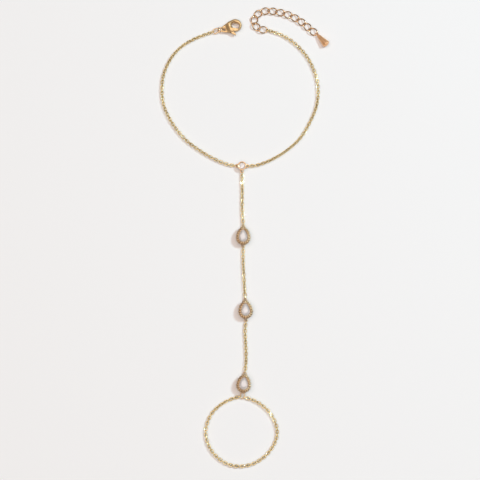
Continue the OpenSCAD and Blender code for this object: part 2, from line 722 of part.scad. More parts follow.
module clasp_lever() {
    color(gold) at_clasp() difference() {
        union() {
            translate([pivot_along, -pivot_aside, 0]) {
                cylinder(r = boss_r, h = lever_t, center = true, $fn = wire_fn);
                linear_extrude(lever_t, center = true) polygon(tab_points);
                translate([0, lever_clear - boss_r, -lever_t / 2])
                    cube([neck_len, 2 * (boss_r - lever_clear), lever_t]);
            }
            intersection() {
                difference() {
                    translate([clasp_reach, 0, 0])
                        cylinder(d = hook_d - 2 * lever_clear, h = lever_t, center = true, $fn = round_fn);
                    hook_hole(lever_clear);
                }
                translate([pivot_along, -pivot_aside, 0])
                    cylinder(r = lever_reach, h = clasp_t, center = true, $fn = round_fn);
                translate([pivot_along, -hook_d, -clasp_t]) cube([hook_d, hook_d + lever_top, 2 * clasp_t]);
            }
        }
        translate([pivot_along, -pivot_aside, 0])
            cylinder(d = pin_d + 2 * pin_clear, h = 2 * lever_t, center = true, $fn = wire_fn);
    }
}

// Finger loop chain as a plain tube of the chain's width along its route
tube_sides = 8;
tube_step = 3;
loop_center = put([0, -wall_end - loop_eye_l / 2 + solder_depth], lower_place);
loop_low = [0.3, 0.6];
loop_side = (loop_eye_w - loop_eye_wire) / 2;
loop_left = loop_center + [-loop_side, -loop_low[0]];
loop_right = loop_center + [loop_side, -loop_low[1]];
tube_clear = 0.22;
tube_gap = loop_eye_wire / 2 + tube_clear;

module open_tube(points, d, sides) {
    n = len(points);
    skin = [for (i = [0 : n - 1], k = [0 : sides - 1]) let (
            way = unit(points[min(i + 1, n - 1)] - points[max(i - 1, 0)]),
            a = 360 * k / sides - 90
        )
        points[i] + d / 2 * [-way[1] * cos(a), way[0] * cos(a), sin(a)]];
    faces = concat(
        [[for (k = [0 : sides - 1]) k]],
        [for (i = [0 : n - 2], k = [0 : sides - 1]) let (a = i * sides, b = a + sides, m = (k + 1) % sides)
            each [[a + k, b + k, b + m], [a + k, b + m, a + m]]],
        [[for (k = [sides - 1 : -1 : 0]) (n - 1) * sides + k]]
    );
    polyhedron(skin, faces);
}

module finger_loop_chain() {
    table = curve_table(smooth_curve(concat([loop_left], finger_route, [loop_right])));
    run = table_end(table) - 2 * tube_gap;
    rings = round(run / tube_step);
    spots = [for (i = [0 : rings]) table_point(table, tube_gap + run * i / rings)];
    points = [for (p = spots) [p[0], p[1], eye_z]];
    color(gold) open_tube(points, link_w, tube_sides);
}

center_bezel();
center_stone();
pear_setting_upper();
pear_setting_middle();
pear_setting_lower();
pear_stone_upper();
pear_stone_middle();
pear_stone_lower();
bracelet_chain_left();
bracelet_chain_right();
drop_chain_upper();
drop_chain_middle();
drop_chain_lower();
finger_loop_chain();
clasp_body();
clasp_lever();
clasp_ring();
tail_ring();
extender_chain();
end_drop();
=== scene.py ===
import math

import bmesh
import bpy
import numpy as np
from mathutils import Matrix, Vector


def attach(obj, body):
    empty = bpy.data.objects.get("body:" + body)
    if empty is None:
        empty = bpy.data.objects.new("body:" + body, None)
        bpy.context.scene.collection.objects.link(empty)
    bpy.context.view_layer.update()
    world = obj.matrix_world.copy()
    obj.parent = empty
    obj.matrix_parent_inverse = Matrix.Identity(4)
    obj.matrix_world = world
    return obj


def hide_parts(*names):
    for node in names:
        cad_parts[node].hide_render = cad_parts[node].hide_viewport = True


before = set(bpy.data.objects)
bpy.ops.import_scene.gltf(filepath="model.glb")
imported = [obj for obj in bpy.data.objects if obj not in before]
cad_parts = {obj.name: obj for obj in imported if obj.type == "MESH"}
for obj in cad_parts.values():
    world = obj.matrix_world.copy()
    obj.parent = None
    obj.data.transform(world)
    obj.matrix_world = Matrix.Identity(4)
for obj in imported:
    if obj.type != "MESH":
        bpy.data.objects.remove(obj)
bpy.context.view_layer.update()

# All sizes below are in millimetres and are brought to metres by MM
MM = 0.001
BODY = "bracelet"
LEVER = "lever"

# Vertices nearer than WELD metres are one, and a straight run under NO_RUN millimetres is none
WELD, NO_RUN = 1e-7, 1e-6

# Fine chain
LINK_LEN, LINK_W, LINK_WIRE, LINK_PLAY = 1.7, 1.2, 0.3, 0.14
FLOOR_GAP = 0.02
EYE_Z = LINK_W / 2 + FLOOR_GAP
LAY_LEAN, LAY_RUN, LIFT_RUN, WANDER, WANDER_EVERY = 25.0, 6.0, 4.0, 9.0, 18.0
ROUTE_TAIL, CURVE_STEPS = 2.0, 8
UPRIGHT, QUARTER, HALF_TURN = 90, 90, 180

# Settings and stones
STONE_CLEAR, BACK_T = 0.06, 0.3
ROUND_STONE_D, BEZEL_WALL, BEZEL_H, BEZEL_BACK_D = 2.2, 0.3, 1.9, 2.3
ROUND_CROWN, ROUND_PAVILION, GIRDLE_T = 0.32, 0.9, 0.08
PEAR_STONE_W, PEAR_STONE_L, PEAR_TIP_R, PEAR_BAND, PEAR_SEAT = 2.9, 4.2, 0.5, 1.1, 0.3
PEAR_H, PEAR_INSET, PEAR_CROWN, PEAR_PAVILION = 2.6, 0.3, 0.5, 1.3
RIDGES, RIDGE_D, RIDGE_SLOPE = 18, 0.66, math.radians(14)
LIP_DROP, SOLDER = 0.1, 0.15
EYE_D, EYE_WIRE = 1.3, 0.3
LOOP_EYE_W, LOOP_EYE_L, LOOP_EYE_WIRE = 1.8, 2.3, 0.35
LOOP_LOW = (0.3, 0.6)   # how far below the oval ring's middle either end of the loop hooks in
BEZEL_EYE_TURNS = (174, 270, 4)

# Foot, flare and lip of the bezel, and the step of its pocket under the stone
BEZEL_FOOT, BEZEL_FLARE, BEZEL_FLARE_START = 0.08, 1.3, 0.15
BEZEL_LIP_ARC = (15, 165)
BEZEL_SEAT_DROPS, BEZEL_SEAT_SHARES = (0.24, 0.26), (0.8, 0.7)

# Skin of a pear setting: rounded foot, edge of the deck under the ridges, lip and seat of the stone
FOOT_R, UNDER_BAND, DECK_RISE, DECK_EDGE = 0.18, 0.06, 0.02, 0.05
STONE_LIP_W, STONE_LIP_H = 0.15, 0.12
SEAT_DROPS, SEAT_SLOPE = (0.26, 0.3), 0.15
RIDGE_SUNK, RIDGE_ROOT = 0.02, 0.6

# Cut of the stones: shares of the way from the middle to the girdle, of the crown's and of the
# pavilion's height
GIRDLE_POINTS = 16
MAINS = GIRDLE_POINTS // 2
TABLE_SHARE = 0.56
KITE_SHARE, KITE_RISE = 0.80, 0.52
LOW_SHARE, LOW_DEPTH = 0.26, 0.76
PEAR_MIDDLE = (0, 0.45)

# Places of the three pear settings: across, up, turn in degrees
PEAR_PLACES = {"upper": (0.4, -24.4, 0.0), "middle": (1.2, -49.1, 2.0), "lower": (0.5, -73.5, -6.0)}

# Route of the finger loop, the same points as in the solids' source
FINGER_ROUTE = [(-3.3, -77.8), (-6.7, -79.5), (-9.7, -82.3), (-11.4, -85.8), (-11.9, -89.4),
                (-10.7, -93.5), (-8.1, -96.9), (-4.4, -99.2), (-0.4, -99.8), (3.6, -99.0),
                (7.3, -96.7), (10.1, -93.4), (11.5, -89.4), (10.9, -85.6), (8.8, -82.0),
                (5.7, -79.3), (3.1, -78.0)]

# Extender and drop
EXT_WIRE, EXT_W, EXT_TWIST, EXT_PLAY = 0.4, 2.6, math.radians(90), 0.22
DROP_LEN, DROP_D, DROP_NECK, DROP_DOME = 4.7, 2.5, 1.08, 0.55
EYELET_D, EYELET_WIRE, DROP_TURN = 1.5, 0.28, math.radians(-49)
DROP_FOOT, DROP_FOOT_IN, DROP_FLARE, DROP_EDGE, DROP_EDGE_LOW = 0.08, 0.06, 1.06, 0.16, 0.02
DROP_CONE_RUN, DROP_EDGE_ARC, DROP_DOME_START = (0.04, 0.97), (-8, 60), 0.12

# Rings of the clasp
CLASP_RING_D, CLASP_RING_WIRE = 2.4, 0.4
TAIL_RING_L, TAIL_RING_W, TAIL_RING_WIRE = 2.7, 1.9, 0.34

# Sides of the wires and steps of the curves
LINK_SIDES = 10
RING_STEPS, RING_SIDES = 16, 14
EXT_STEPS = 40
EYELET_STEPS = 18
JUMP_STEPS, JUMP_SIDES = 20, 16
OUTLINE_STEPS = 120
FOOT_STEPS = 4
BEZEL_SIDES, BEZEL_FLARE_POINTS, BEZEL_LIP_STEPS = 64, 8, 8
DROP_SIDES, DROP_CONE_POINTS, DROP_EDGE_STEPS, DROP_DOME_POINTS = 56, 14, 5, 8


# ---------------------------------------------------------------- meshes

class Shape:
    """Gathers vertices in millimetres and faces of one piece."""

    def __init__(self):
        self.verts, self.faces, self.count = [], [], 0

    def add(self, verts, faces, matrix=None):
        verts = np.asarray(verts, float)
        if matrix is not None:
            verts = verts @ np.array(matrix.to_3x3()).T + np.array(matrix.translation)
        self.verts.append(verts)
        self.faces += [tuple(int(i) + self.count for i in f) for f in faces]
        self.count += len(verts)


def piece(name, shape, material, nodes, body=BODY, sharp=40.0):
    """Turns a shape into a smooth-shaded object that rides on a body and stands for nodes."""
    mesh = bpy.data.meshes.new(name)
    mesh.from_pydata((np.concatenate(shape.verts) * MM).tolist(), [], shape.faces)
    mesh.validate()
    mesh.update()
    mesh.shade_smooth()
    mesh.set_sharp_from_angle(angle=math.radians(sharp))
    mesh.materials.append(material)
    obj = bpy.data.objects.new(name, mesh)
    bpy.context.scene.collection.objects.link(obj)
    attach(obj, body)
    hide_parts(*nodes)
    return obj


def grid_faces(rows, cols, close_rows):
    """Quads of a grid of rows by cols vertices, each row a closed ring."""
    faces = []
    for i in range(rows if close_rows else rows - 1):
        for k in range(cols):
            a, b = i * cols, ((i + 1) % rows) * cols
            m = (k + 1) % cols
            faces.append((a + k, a + m, b + m, b + k))
    return faces


def closed_wire(points, wire, sides, twisted=False):
    """Round wire along a closed curve round the origin."""
    p = np.asarray(points, float)
    way = np.roll(p, -1, 0) - np.roll(p, 1, 0)
    way /= np.linalg.norm(way, axis=1)[:, None]
    if twisted:
        out = p / np.linalg.norm(p, axis=1)[:, None]
        side = np.cross(way, np.cross(out, way))
    else:
        side = np.cross(way, np.array([[0.0, 0.0, 1.0]]))
    side /= np.linalg.norm(side, axis=1)[:, None]
    up = np.cross(way, side)
    a = np.arange(sides) * 2 * math.pi / sides
    across, along = np.cos(a)[None, :, None], np.sin(a)[None, :, None]
    ring = (across * side[:, None] + along * up[:, None]) * wire / 2
    return (p[:, None] + ring).reshape(-1, 3), grid_faces(len(p), sides, True)


def oval_points(length, width, wire, steps=8):
    """Middle line of an oval ring in the flat, its length along X."""
    r, half = (width - wire) / 2, (length - width) / 2
    t = np.linspace(-math.pi / 2, math.pi / 2, steps + 1)
    right = np.stack([half + r * np.cos(t), r * np.sin(t), 0 * t], 1)
    if half < NO_RUN:
        return np.concatenate([right[:-1], -right[:-1]])
    top = np.array([[0.0, r, 0.0]])
    return np.concatenate([right, top, -right, -top])


def twisted_points(half_l, half_w, twist, steps):
    """Middle line of an oval link that is twisted from end to end."""
    t = np.arange(steps) * 2 * math.pi / steps
    lean = twist / 2 * np.cos(t)
    return np.stack([half_l * np.cos(t), half_w * np.sin(t) * np.cos(lean),
                     half_w * np.sin(t) * np.sin(lean)], 1)


def lathe(profile, sides):
    """Turns a profile of (radius, height) about Z. A radius of 0 closes the end."""
    verts, rows = [], []
    a = np.arange(sides) * 2 * math.pi / sides
    for r, z in profile:
        rows.append((len(verts), r == 0))
        if r == 0:
            verts.append((0.0, 0.0, z))
        else:
            verts += [(r * math.cos(t), r * math.sin(t), z) for t in a]
    faces = []
    for (low, low_tip), (high, high_tip) in zip(rows, rows[1:]):
        for k in range(sides):
            m = (k + 1) % sides
            if low_tip:
                faces.append((low, high + m, high + k))
            elif high_tip:
                faces.append((low + k, low + m, high))
            else:
                faces.append((low + k, low + m, high + m, high + k))
    return verts, faces


def arc(cx, cz, r, start, stop, steps):
    """Points of a circular arc of a profile, angles in degrees."""
    return [(cx + r * math.cos(math.radians(t)), cz + r * math.sin(math.radians(t)))
            for t in np.linspace(start, stop, steps + 1)]


def solids(node):
    """Centre, axes (longest first) and size of each loose solid of a CAD node, in millimetres."""
    work = bmesh.new()
    work.from_mesh(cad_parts[node].data)
    bmesh.ops.remove_doubles(work, verts=work.verts, dist=WELD)
    work.verts.ensure_lookup_table()
    seen, found = set(), []
    for start in work.verts:
        if start.index in seen:
            continue
        todo, group = [start], []
        seen.add(start.index)
        while todo:
            v = todo.pop()
            group.append(tuple(v.co))
            for e in v.link_edges:
                o = e.other_vert(v)
                if o.index not in seen:
                    seen.add(o.index)
                    todo.append(o)
        p = np.array(group) / MM
        middle = (p.max(0) + p.min(0)) / 2
        _, axes = np.linalg.eigh(np.cov((p - middle).T))
        axes = axes[:, ::-1]
        if np.linalg.det(axes) < 0:
            axes[:, 2] *= -1
        q = p @ axes
        low, high = q.min(0), q.max(0)
        found.append(((low + high) / 2 @ axes.T, axes, high - low))
    work.free()
    return found


def placed(centre, axes):
    """Matrix of a place in millimetres."""
    m = Matrix([[float(axes[i][k]) for k in range(3)] for i in range(3)]).to_4x4()
    m.translation = Vector([float(c) for c in centre])
    return m


def at_place(place, z=0.0):
    """Matrix of a place of (across, up, turn in degrees) at a height."""
    across, up, turn = place
    return Matrix.Translation((across, up, z)) @ Matrix.Rotation(math.radians(turn), 4, "Z")


# ---------------------------------------------------------------- materials

# Clouds of tone and fine scuffs on the metal, their scales to the metre and the bump in metres
CLOUD_SCALE, CLOUD_DETAIL, CLOUD_EDGES = 700.0, 3.0, (0.35, 0.65)
SCUFF_SCALE, SCUFF_DETAIL, SCUFF_STRENGTH, SCUFF_DEPTH = 4200.0, 4.0, 0.08, 0.00002

# Stone: its two tones, their scale, gloss, index and the share of light that passes through
STONE_DEEP, STONE_LIGHT = (0.97, 0.92, 0.90, 1.0), (1.0, 0.97, 0.95, 1.0)
STONE_SCALE, STONE_ROUGH, STONE_IOR, STONE_CLEAR_SHARE = 900.0, 0.02, 2.1, 0.5


def material(name):
    """A new node material, its nodes, its links and its shader."""
    mat = bpy.data.materials.new(name)
    mat.use_nodes = True
    return mat, mat.node_tree.nodes, mat.node_tree.links, mat.node_tree.nodes["Principled BSDF"]


def gold_material(name, light, deep, rough, metal=1.0):
    """Plated metal: two close tones in soft clouds, fine scuffs in gloss and height.

    A share of metal below 1 is a lacquered plating, which scatters some light.
    """
    mat, nodes, links, shader = material(name)
    shader.inputs["Metallic"].default_value = metal
    place = nodes.new("ShaderNodeTexCoord")
    cloud = nodes.new("ShaderNodeTexNoise")
    cloud.inputs["Scale"].default_value = CLOUD_SCALE
    cloud.inputs["Detail"].default_value = CLOUD_DETAIL
    tones = nodes.new("ShaderNodeValToRGB")
    for stop, position, colour in zip(tones.color_ramp.elements, CLOUD_EDGES, (deep, light)):
        stop.position, stop.color = position, (*colour, 1.0)
    scuff = nodes.new("ShaderNodeTexNoise")
    scuff.inputs["Scale"].default_value = SCUFF_SCALE
    scuff.inputs["Detail"].default_value = SCUFF_DETAIL
    gloss = nodes.new("ShaderNodeMapRange")
    gloss.inputs["To Min"].default_value, gloss.inputs["To Max"].default_value = rough
    bump = nodes.new("ShaderNodeBump")
    bump.inputs["Strength"].default_value = SCUFF_STRENGTH
    bump.inputs["Distance"].default_value = SCUFF_DEPTH
    links.new(place.outputs["Object"], cloud.inputs["Vector"])
    links.new(place.outputs["Object"], scuff.inputs["Vector"])
    links.new(cloud.outputs["Fac"], tones.inputs["Fac"])
    links.new(tones.outputs["Color"], shader.inputs["Base Color"])
    links.new(scuff.outputs["Fac"], gloss.inputs["Value"])
    links.new(gloss.outputs["Result"], shader.inputs["Roughness"])
    links.new(scuff.outputs["Fac"], bump.inputs["Height"])
    links.new(bump.outputs["Normal"], shader.inputs["Normal"])
    return mat


def stone_material():
    """Clear cut stone with a faint warm cloud in it, part of its light scattered."""
    mat, nodes, links, shader = material("crystal")
    place = nodes.new("ShaderNodeTexCoord")
    cloud = nodes.new("ShaderNodeTexNoise")
    cloud.inputs["Scale"].default_value = STONE_SCALE
    tones = nodes.new("ShaderNodeValToRGB")
    tones.color_ramp.elements[0].color = STONE_DEEP
    tones.color_ramp.elements[1].color = STONE_LIGHT
    links.new(place.outputs["Object"], cloud.inputs["Vector"])
    links.new(cloud.outputs["Fac"], tones.inputs["Fac"])
    links.new(tones.outputs["Color"], shader.inputs["Base Color"])
    shader.inputs["Roughness"].default_value = STONE_ROUGH
    shader.inputs["IOR"].default_value = STONE_IOR
    shader.inputs["Transmission Weight"].default_value = STONE_CLEAR_SHARE
    return mat


# Each gold: name, light tone, deep tone, least and most roughness, share of metal
GOLD = gold_material("gold", (0.90, 0.68, 0.42), (0.80, 0.55, 0.31), (0.12, 0.24))
CHAIN_GOLD = gold_material("chain_gold", (0.90, 0.77, 0.45), (0.68, 0.55, 0.29), (0.05, 0.15))
MILLED_GOLD = gold_material("milled_gold", (0.70, 0.53, 0.33), (0.60, 0.42, 0.25), (0.26, 0.42))
# Painted shade: the groove gold is a dark brown that stands in for the shade in the grooves between
# the ridges of a pear setting, and its roughness is the metal's own
GROOVE_SHADE_GOLD = gold_material("groove_painted_shade", (0.40, 0.26, 0.13), (0.32, 0.19, 0.09), (0.36, 0.5))
EXTENDER_GOLD = gold_material("extender_gold", (0.86, 0.60, 0.36), (0.66, 0.42, 0.22), (0.08, 0.18))
DROP_GOLD = gold_material("drop_gold", (0.96, 0.57, 0.30), (0.88, 0.49, 0.24), (0.26, 0.38), 0.68)
CLASP_GOLD = gold_material("clasp_gold", (0.74, 0.52, 0.27), (0.64, 0.42, 0.20), (0.40, 0.52), 0.85)
CRYSTAL = stone_material()


# ---------------------------------------------------------------- chains

LINK = closed_wire(oval_points(LINK_LEN, LINK_W, LINK_WIRE), LINK_WIRE, LINK_SIDES)

for chain in ("bracelet_chain_left", "bracelet_chain_right", "drop_chain_upper",
              "drop_chain_middle", "drop_chain_lower"):
    links_of = Shape()
    for centre, axes, _ in solids(chain):
        links_of.add(*LINK, placed(centre, axes))
    piece(chain + "_links", links_of, CHAIN_GOLD, [chain])


def smooth_curve(p):
    """The curve of the solids' source: the same formula and steps."""
    p = [np.array(q, float) for q in p]
    out = []
    for i in range(len(p) - 1):
        a, b, c, d = p[max(i - 1, 0)], p[i], p[i + 1], p[min(i + 2, len(p) - 1)]
        for k in range(CURVE_STEPS):
            t = k / CURVE_STEPS
            out.append(0.5 * (2 * b + (c - a) * t + (2 * a - 5 * b + 4 * c - d) * t * t
                              + (3 * b - a - 3 * c + d) * t ** 3))
    return np.array(out + [p[-1]])


def lay_height(lay):
    """Height of the middle of a link that rests on the floor, turned about its length by lay."""
    half = (LINK_W - LINK_WIRE) / 2
    return FLOOR_GAP + LINK_WIRE / 2 + half * max(abs(math.sin(lay)), abs(math.cos(lay)))


def chain_places(seats, route, wires, leans):
    """Places of the links of a chain from one ring's wire to another, laid as the source's chains.

    leans gives how far the upright links lean to the right of the chain's way at either end.
    """
    p = [np.array(q, float) for q in [seats[0], *route, seats[1]]]
    first = p[0] + ROUTE_TAIL * (p[0] - p[1]) / np.linalg.norm(p[0] - p[1])
    last = p[-1] + ROUTE_TAIL * (p[-1] - p[-2]) / np.linalg.norm(p[-1] - p[-2])
    path = smooth_curve([first, *p, last])
    reach = np.concatenate([[0], np.cumsum(np.linalg.norm(np.diff(path, axis=0), axis=1))])
    inner = LINK_LEN - 2 * LINK_WIRE
    start = ROUTE_TAIL + inner / 2 - wires[0] / 2 - LINK_PLAY
    stop = reach[-1] - ROUTE_TAIL - inner / 2 + wires[1] / 2 + LINK_PLAY
    gaps = round((stop - start) / (inner - LINK_PLAY))
    pitch = (stop - start) / gaps
    # The last link stands upright in its ring: the lay that does this, nearest to the lean there
    last = UPRIGHT + leans[1]
    end_lay = last + (UPRIGHT - QUARTER * (gaps % 2) - last + QUARTER) % HALF_TURN - QUARTER

    def lay(s):
        """Turn of the links about the chain's way at a run of s, in degrees."""
        from_start, from_stop = min((s - start) / LAY_RUN, 1), min((stop - s) / LAY_RUN, 1)
        middle = UPRIGHT + leans[0] + (leans[1] - leans[0]) * (s - start) / (stop - start)
        wander = WANDER * math.sin(2 * math.pi * (s - start) / WANDER_EVERY)
        return (middle + (UPRIGHT - middle) * (1 - from_start)
                + (end_lay - middle) * (1 - from_stop) + wander * min(from_start, from_stop))

    def spot(s):
        """Point of the chain's middle line at a run of s."""
        rise = (EYE_Z - lay_height(math.radians(UPRIGHT))) * max(0, 1 - (s - start) / LIFT_RUN)
        rise += (EYE_Z - lay_height(math.radians(end_lay))) * max(0, 1 - (stop - s) / LIFT_RUN)
        return np.array([np.interp(s, reach, path[:, 0]), np.interp(s, reach, path[:, 1]),
                         lay_height(math.radians(lay(s))) + rise])

    for k in range(gaps + 1):
        s = start + k * pitch
        front, rear = spot(s + pitch / 2), spot(s - pitch / 2)
        way = Vector(front - rear)
        yaw, tilt = math.atan2(way.y, way.x), math.atan2(way.z, way.xy.length)
        yield (Matrix.Translation((front + rear) / 2) @ Matrix.Rotation(yaw, 4, "Z")
               @ Matrix.Rotation(-tilt, 4, "Y")
               @ Matrix.Rotation(math.radians(lay(s) + QUARTER * (k % 2)), 4, "X"))


CORE_R = PEAR_STONE_W / 2 - PEAR_TIP_R
CORE_TIP = PEAR_STONE_L - PEAR_STONE_W / 2 - PEAR_TIP_R
WALL_END = PEAR_STONE_W / 2 + PEAR_BAND - PEAR_INSET
WALL_TIP = PEAR_STONE_L - PEAR_STONE_W / 2 + PEAR_BAND - PEAR_INSET
LOOP_EYE_AT = at_place(PEAR_PLACES["lower"]) @ Vector((0, -WALL_END - LOOP_EYE_L / 2 + SOLDER, 0))
LOOP_SIDE = (LOOP_EYE_W - LOOP_EYE_WIRE) / 2

finger = Shape()
for place in chain_places([(LOOP_EYE_AT.x - LOOP_SIDE, LOOP_EYE_AT.y - LOOP_LOW[0]),
                           (LOOP_EYE_AT.x + LOOP_SIDE, LOOP_EYE_AT.y - LOOP_LOW[1])],
                          FINGER_ROUTE, (LOOP_EYE_WIRE, LOOP_EYE_WIRE), (LAY_LEAN, -LAY_LEAN)):
    finger.add(*LINK, place)
piece("finger_loop_links", finger, CHAIN_GOLD, ["finger_loop_chain"])


# ---------------------------------------------------------------- settings

SIDE_R = (CORE_R ** 2 + CORE_TIP ** 2) / (2 * CORE_R)
SIDE_SHIFT = SIDE_R - CORE_R
SIDE_FAN = math.atan2(CORE_TIP, SIDE_SHIFT)


def pear_spot(band, share):
    """Point and outward direction at a share of the stone's outline moved out by a band.

    It starts at the rounded point of the pear and runs clockwise.
    """
    off, share = band + PEAR_TIP_R, share % 1
    tip, side = off * (math.pi / 2 - SIDE_FAN), (SIDE_R + off) * SIDE_FAN
    end = (CORE_R + off) * math.pi / 2
    s = 2 * (tip + side + end) * min(share, 1 - share)
    if s < tip:
        a = math.pi / 2 - (math.pi / 2 - SIDE_FAN) * s / tip
        p = np.array([off * math.cos(a), CORE_TIP + off * math.sin(a)])
    elif s < tip + side:
        a = SIDE_FAN * (1 - (s - tip) / side)
        p = np.array([(SIDE_R + off) * math.cos(a) - SIDE_SHIFT, (SIDE_R + off) * math.sin(a)])
    else:
        a = -math.pi / 2 * (s - tip - side) / end
        p = np.array([(CORE_R + off) * math.cos(a), (CORE_R + off) * math.sin(a)])
    return (p, a) if share <= 0.5 else (p * (-1, 1), math.pi - a)


def pear_outline(band, n):
    """Points of that outline, each on the same ray of the stone's outline whatever the band."""
    points = []
    for i in range(n):
        p, a = pear_spot(PEAR_BAND, i / n)
        points.append(p - (PEAR_BAND - band) * np.array([math.cos(a), math.sin(a)]))
    return np.array(points)


def loft(outlines):
    """Closed skin through outlines of (points, height), clockwise seen from above."""
    n = len(outlines[0][0])
    verts = np.concatenate([np.column_stack([p, np.full(n, z)]) for p, z in outlines])
    faces = [f[::-1] for f in grid_faces(len(outlines), n, False)]
    last = (len(outlines) - 1) * n
    faces += [tuple(range(n)), tuple(range(last + n - 1, last - 1, -1))]
    return verts, faces


def bar(length, d, root, sides=14, round_steps=5):
    """Bar along X from the origin with round ends, sunk at its root by a shallow dome."""
    r = d / 2
    profile = [(0.0, 0.0)] + [(r * math.sin(t), r * root * (1 - math.cos(t)))
                              for t in np.linspace(0, math.pi / 2, round_steps + 1)[1:]]
    profile += [(r * math.cos(t), length - r + r * math.sin(t))
                for t in np.linspace(0, math.pi / 2, round_steps + 1)[:-1]] + [(0.0, length)]
    verts, faces = lathe(profile, sides)
    return [(z, x, y) for x, y, z in verts], faces


RIDGE_Z = PEAR_H - RIDGE_D / 2 - (PEAR_BAND - RIDGE_D / 2) * math.sin(RIDGE_SLOPE)
EYE_REACH = EYE_D / 2 - SOLDER
PEAR_GIRDLE_Z = PEAR_H - LIP_DROP - PEAR_CROWN
# Rows of faces of the cup's skin that show between the ridges, which take painted shade: a dark
# gold for the shade that falls in the grooves
SHADED_GROOVE_ROWS = (FOOT_STEPS + 1, FOOT_STEPS + 5)
EYE_RING = closed_wire(oval_points(EYE_D, EYE_D, EYE_WIRE, RING_STEPS), EYE_WIRE, RING_SIDES)


def pear_setting(end_ring):
    """Cup of a pear stone with its milled band, and a ring or the loop's oval ring at its end."""
    shape = Shape()

    # Wall with a rounded foot, up to the band, and the open cup inside, as (band, height)
    deck, wall = RIDGE_Z + DECK_RISE, PEAR_BAND - PEAR_INSET
    rim, pocket = PEAR_BAND - RIDGE_D / 2, STONE_CLEAR
    rows = [(wall - FOOT_R, 0.0)]
    rows += [(wall - FOOT_R * (1 - math.sin(t)), FOOT_R * (1 - math.cos(t)))
             for t in np.linspace(0, math.pi / 2, FOOT_STEPS + 1)[1:]]
    rows += [(wall, RIDGE_Z - RIDGE_D / 2 - UNDER_BAND),
             (rim, RIDGE_Z - RIDGE_D / 2),
             (rim, deck - DECK_EDGE),
             (rim - DECK_EDGE, deck),
             (pocket + STONE_LIP_W, deck + STONE_LIP_H),
             (pocket, deck + STONE_LIP_H),
             (pocket, PEAR_GIRDLE_Z - SEAT_DROPS[0] - STONE_CLEAR),
             (-PEAR_SEAT, PEAR_GIRDLE_Z - SEAT_DROPS[1] - STONE_CLEAR),
             (-PEAR_SEAT - SEAT_SLOPE, BACK_T)]
    shape.add(*loft([(pear_outline(band, OUTLINE_STEPS), z) for band, z in rows]))

    # Radial ridges round the band
    length = PEAR_BAND + RIDGE_SUNK
    for i in range(RIDGES):
        point, a = pear_spot(PEAR_BAND, i / RIDGES)
        inward = np.array([math.cos(a), math.sin(a)])
        root = point - length * inward
        place = (Matrix.Translation((root[0], root[1], RIDGE_Z + length * math.sin(RIDGE_SLOPE)))
                 @ Matrix.Rotation(a, 4, "Z") @ Matrix.Rotation(RIDGE_SLOPE, 4, "Y"))
        shape.add(*bar(length, RIDGE_D, RIDGE_ROOT), place)

    # Rings soldered to both ends
    shape.add(*EYE_RING, Matrix.Translation((0, WALL_TIP + EYE_REACH, EYE_Z)))
    if end_ring:
        shape.add(*EYE_RING, Matrix.Translation((0, -WALL_END - EYE_REACH, EYE_Z)))
    else:
        oval = closed_wire(oval_points(LOOP_EYE_L, LOOP_EYE_W, LOOP_EYE_WIRE, RING_STEPS),
                           LOOP_EYE_WIRE, RING_SIDES)
        shape.add(*oval, Matrix.Translation((0, -WALL_END - LOOP_EYE_L / 2 + SOLDER, EYE_Z))
                  @ Matrix.Rotation(math.pi / 2, 4, "Z"))
    return shape


def brilliant(outline, centre, crown, pavilion):
    """Cut stone over its girdle points: table, stars, kites, girdle facets, pavilion and culet."""
    c, under = np.array(centre), GIRDLE_POINTS

    def at(i, share):
        """Point at a share of the way from the middle to girdle point i."""
        return c + share * (outline[i] - c)

    g = GIRDLE_T / 2
    verts = [(*point, g) for point in outline] + [(*point, -g) for point in outline]
    table = len(verts)
    verts += [(*at(2 * k, TABLE_SHARE), crown) for k in range(MAINS)]
    mids = len(verts)
    verts += [(*at(2 * k + 1, KITE_SHARE), g + KITE_RISE * (crown - g)) for k in range(MAINS)]
    lows = len(verts)
    verts += [(*at(2 * k + 1, LOW_SHARE), -g - LOW_DEPTH * (pavilion - g)) for k in range(MAINS)]
    culet = len(verts)
    verts.append((*c, -pavilion))
    faces = [tuple(table + k for k in range(MAINS - 1, -1, -1))]
    for k in range(MAINS):
        n = (k + 1) % MAINS
        t0, t1, m0, m1 = table + k, table + n, mids + k, mids + (k - 1) % MAINS
        a, b, d = 2 * k, 2 * k + 1, (2 * k + 2) % GIRDLE_POINTS
        faces += [(t1, t0, m0), (t0, m1, a), (t0, a, m0), (m0, a, b), (m0, b, d)]
        low, before = lows + k, lows + (k - 1) % MAINS
        faces += [(low, b + under, a + under), (low, d + under, b + under)]
        faces += [(culet, a + under, before), (culet, low, a + under)]
    for i in range(GIRDLE_POINTS):
        n = (i + 1) % GIRDLE_POINTS
        faces.append((i, i + under, n + under, n))
    return verts, faces


def outward(shape_part):
    """The same mesh with its faces turned to look outwards."""
    verts, faces = shape_part
    work = bmesh.new()
    made = [work.verts.new(v) for v in verts]
    for f in faces:
        work.faces.new([made[i] for i in f])
    bmesh.ops.recalc_face_normals(work, faces=work.faces)
    work.verts.index_update()
    verts = [tuple(v.co) for v in work.verts]
    faces = [tuple(v.index for v in f.verts) for f in work.faces]
    work.free()
    return verts, faces


pear_girdle = np.array([pear_spot(0, i / GIRDLE_POINTS)[0] for i in range(GIRDLE_POINTS)])
pear_cut = outward(brilliant(pear_girdle, PEAR_MIDDLE, PEAR_CROWN, PEAR_PAVILION))
round_girdle = np.array([(ROUND_STONE_D / 2 * math.cos(i * math.pi / MAINS),
                          ROUND_STONE_D / 2 * math.sin(i * math.pi / MAINS))
                         for i in range(GIRDLE_POINTS)])
round_cut = outward(brilliant(round_girdle, (0, 0), ROUND_CROWN, ROUND_PAVILION))

